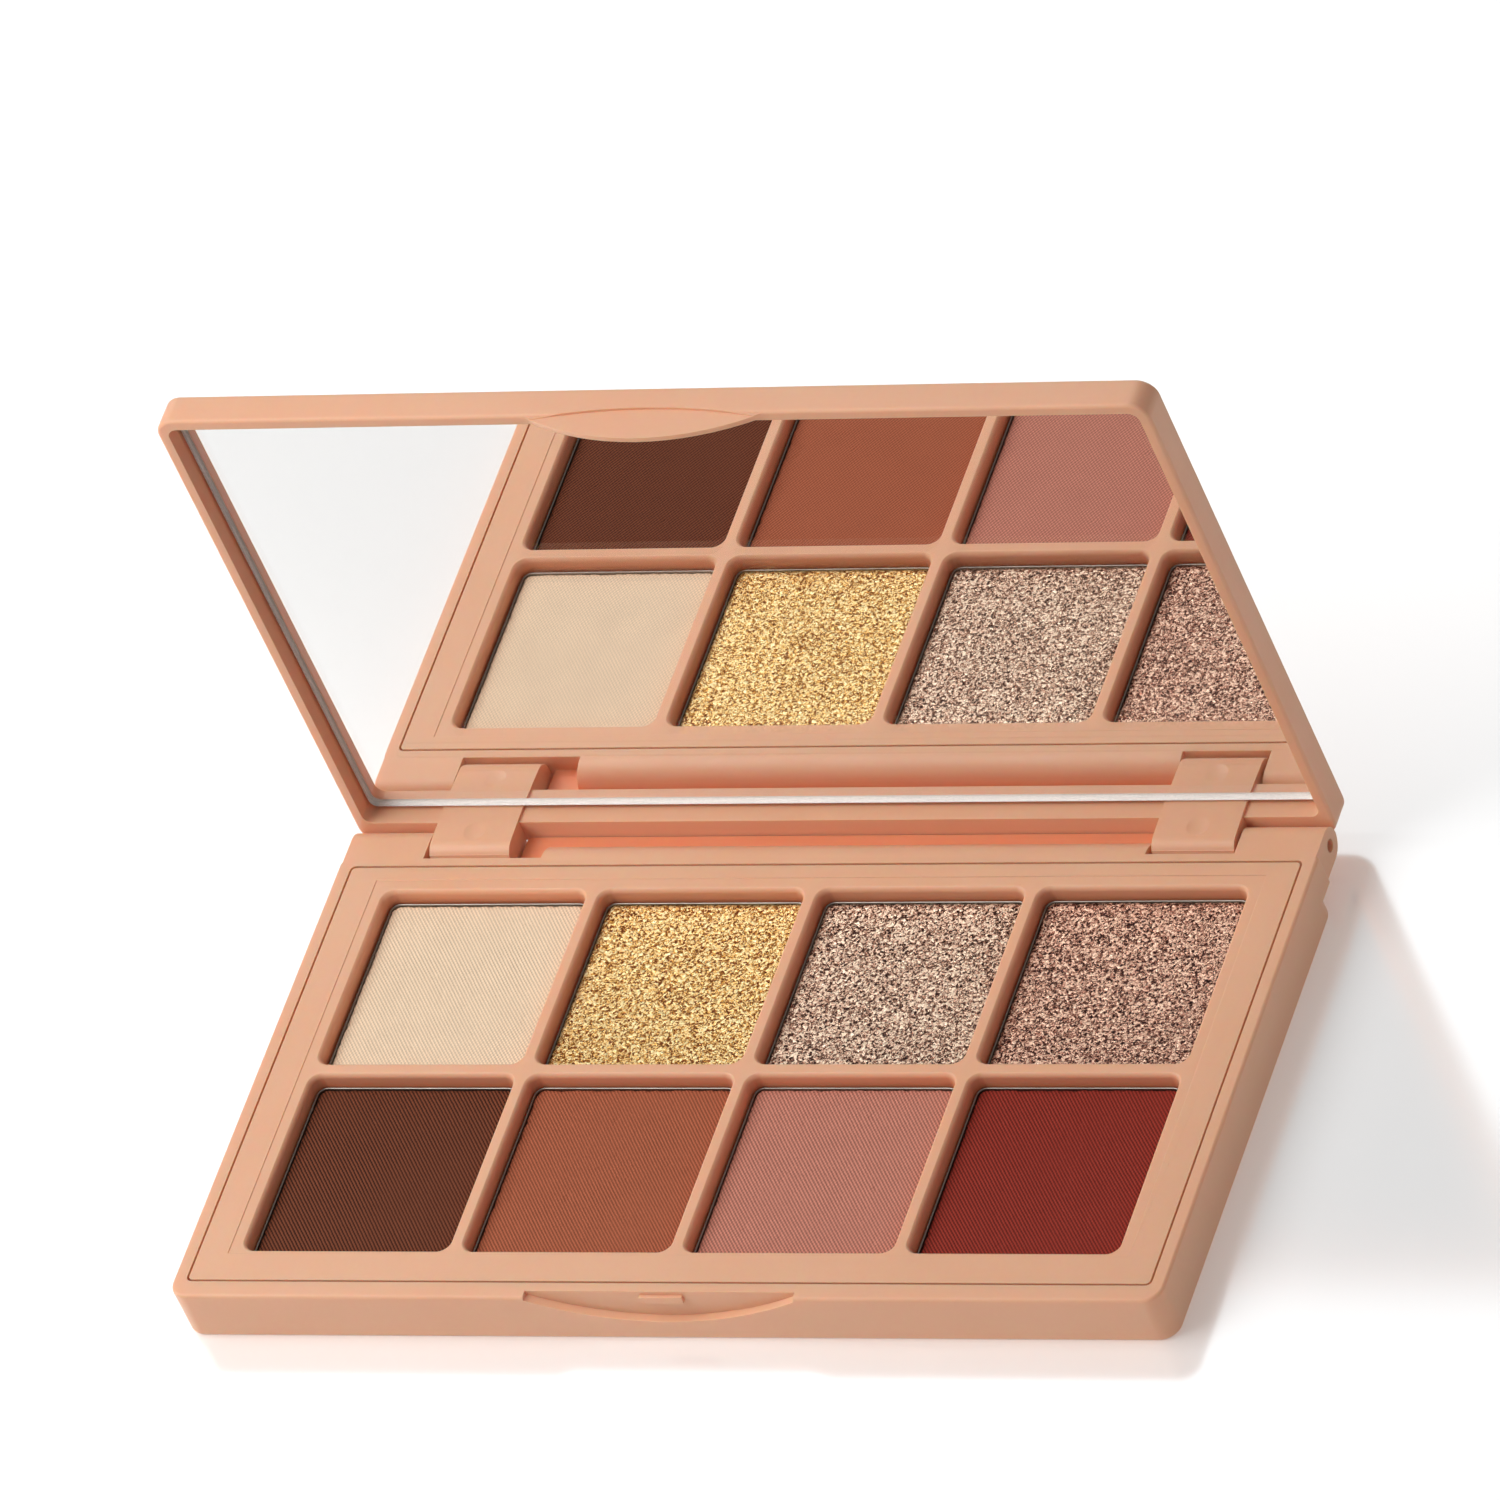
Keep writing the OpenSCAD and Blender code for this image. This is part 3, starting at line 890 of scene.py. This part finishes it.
class PALETTE_OT_pans(bpy.types.Operator):
    """Build the eight tinplate pans and finish the glue under them"""

    bl_idname = "palette.pans"
    bl_label = "Pans"

    def execute(self, context):
        for shade in SHADES:
            pressed_pan(shade)
        glue = material_once("set_glue", soft_filler, colours().glue, 0.8)
        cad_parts["pan_glue"].material_slots[0].material = glue
        return {"FINISHED"}


class PALETTE_OT_matte_powders(bpy.types.Operator):
    """Build the five matte powders with their pressed rows"""

    bl_idname = "palette.matte_powders"
    bl_label = "Matte powders"

    def execute(self, context):
        rows = BAND_PERIOD * MM / sizes().imprint_pitch
        for shade, (row_shade_contrast, cross, closeness) in MATTE_LOOKS.items():
            tint = getattr(colours(), shade)
            cake = material_once(
                "matte_" + shade, matte_powder, tint, row_shade_contrast, cross, rows * closeness
            )
            pressed_powder(shade, cake)
        return {"FINISHED"}


class PALETTE_OT_shimmer_powders(bpy.types.Operator):
    """Build the three shimmer powders with their crumbs and flakes"""

    bl_idname = "palette.shimmer_powders"
    bl_label = "Shimmer powders"

    def execute(self, context):
        for shade, (gap_shade, light) in SHIMMER_LOOKS.items():
            body = getattr(colours(), shade)
            cake = material_once("shimmer_" + shade, shimmer_powder, body, gap_shade, light)
            pressed_powder(shade, cake)
        return {"FINISHED"}


class PALETTE_OT_lid(bpy.types.Operator):
    """Build the moulded lid with its knuckles and lip"""

    bl_idname = "palette.lid"
    bl_label = "Lid"

    def execute(self, context):
        moulded_piece("lid_shell", "lid_moulding", "lid", sizes().case_edge)
        return {"FINISHED"}


class PALETTE_OT_mirror(bpy.types.Operator):
    """Build the mirror and finish the tape behind it"""

    bl_idname = "palette.mirror"
    bl_label = "Mirror"

    def execute(self, context):
        mirror_pane()
        tape = material_once("mirror_tape", soft_filler, colours().tape, 2.5)
        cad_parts["mirror_adhesive"].material_slots[0].material = tape
        return {"FINISHED"}


class PALETTE_OT_pins(bpy.types.Operator):
    """Build the two hinge pins"""

    bl_idname = "palette.pins"
    bl_label = "Hinge pins"

    def execute(self, context):
        for side in ("left", "right"):
            wire_pin(side)
        return {"FINISHED"}


def softbox(name, place, aim, size, power):
    lamp = bpy.data.lights.new(name, "AREA")
    lamp.shape = "RECTANGLE"
    lamp.size, lamp.size_y = size
    lamp.energy = power
    box = bpy.data.objects.new(name, lamp)
    box.location = place
    box.rotation_euler = (Vector(aim) - Vector(place)).to_track_quat("-Z", "Y").to_euler()
    bpy.context.scene.collection.objects.link(box)
    return box


# Name, property that holds the power, place, point it faces, width and height; in metres
SOFTBOXES = (
    ("key_softbox", "key", (-0.34, -0.1, 0.46), (0, 0, 0), (0.4, 0.4)),
    ("fill_softbox", "fill", (-0.35, -0.8, 0.5), (0, 0, 0.03), (0.6, 0.6)),
    ("rim_softbox", "rim", (0.8, 0.1, 0.5), (0, 0, 0.03), (0.4, 0.6)),
    ("sheen_panel", "sheen", (-0.56, 0.79, 0.87), (0, 0, 0), (1.1, 1.1)),
)


class PALETTE_OT_stage(bpy.types.Operator):
    """Set up the floor, the studio light and the camera"""

    bl_idname = "palette.stage"
    bl_label = "Stage"

    def execute(self, context):
        stage = context.scene.palette_stage
        bm = bmesh.new()
        bmesh.ops.create_grid(bm, x_segments=4, y_segments=4, size=4.0)
        mesh = bpy.data.meshes.new("studio_floor")
        bm.to_mesh(mesh)
        bm.free()
        mesh.materials.append(material_once("studio_floor", studio_floor))
        ground = bpy.data.objects.new("studio_floor", mesh)
        context.scene.collection.objects.link(ground)

        for name, power, place, aim, size in SOFTBOXES:
            box = softbox(name, place, aim, size, getattr(stage, power))
            box.visible_diffuse = name != "sheen_panel"
        room = bpy.data.worlds.new("white_room")
        room.use_nodes = True
        glow = room.node_tree.nodes["Background"].inputs
        glow["Color"].default_value = (1, 1, 1, 1)
        glow["Strength"].default_value = stage.surround
        context.scene.world = room
        context.scene.view_settings.view_transform = "Standard"

        away = Vector((
            math.sin(stage.azimuth) * math.cos(stage.elevation),
            -math.cos(stage.azimuth) * math.cos(stage.elevation),
            math.sin(stage.elevation),
        ))
        level = Vector((0, 0, 1)).cross(away).normalized()
        over = away.cross(level)
        right = math.cos(stage.roll) * level + math.sin(stage.roll) * over
        lens = bpy.data.cameras.new("palette_camera")
        lens.sensor_width = 36
        lens.lens = stage.focal_length
        lens.clip_start, lens.clip_end = 0.05, 20
        camera = bpy.data.objects.new("palette_camera", lens)
        turn = Matrix((right, away.cross(right), away)).transposed().to_4x4()
        stand = Vector(stage.target) + away * stage.distance
        camera.matrix_world = Matrix.Translation(stand) @ turn
        context.scene.collection.objects.link(camera)
        context.scene.camera = camera
        return {"FINISHED"}


STEPS = (
    PALETTE_OT_base, PALETTE_OT_plate, PALETTE_OT_pans,
    PALETTE_OT_matte_powders, PALETTE_OT_shimmer_powders,
    PALETTE_OT_lid, PALETTE_OT_mirror, PALETTE_OT_pins, PALETTE_OT_stage,
)


class PALETTE_PT_sidebar(bpy.types.Panel):
    """Steps that build the palette, and the values that shape it"""

    bl_idname = "PALETTE_PT_sidebar"
    bl_label = "Eyeshadow palette"
    bl_space_type = "VIEW_3D"
    bl_region_type = "UI"
    bl_category = "Palette"

    def draw(self, context):
        for step in STEPS:
            self.layout.operator(step.bl_idname)
        scene = context.scene
        for group in (scene.palette_sizes, scene.palette_colours, scene.palette_stage):
            column = self.layout.column(align=True)
            for key in type(group).__annotations__:
                column.prop(group, key)


PROPERTIES = (
    ("palette_sizes", PaletteSizes),
    ("palette_colours", PaletteColours),
    ("palette_stage", PaletteStage),
)
CLASSES = (*(group for _, group in PROPERTIES), *STEPS, PALETTE_PT_sidebar)


def register():
    for item in CLASSES:
        bpy.utils.register_class(item)
    for key, group in PROPERTIES:
        setattr(bpy.types.Scene, key, bpy.props.PointerProperty(type=group))


def unregister():
    for key, _ in PROPERTIES:
        delattr(bpy.types.Scene, key)
    for item in reversed(CLASSES):
        bpy.utils.unregister_class(item)


def main():
    register()
    for step in STEPS:
        area, action = step.bl_idname.split(".")
        getattr(getattr(bpy.ops, area), action)()


if __name__ == "__main__":
    main()
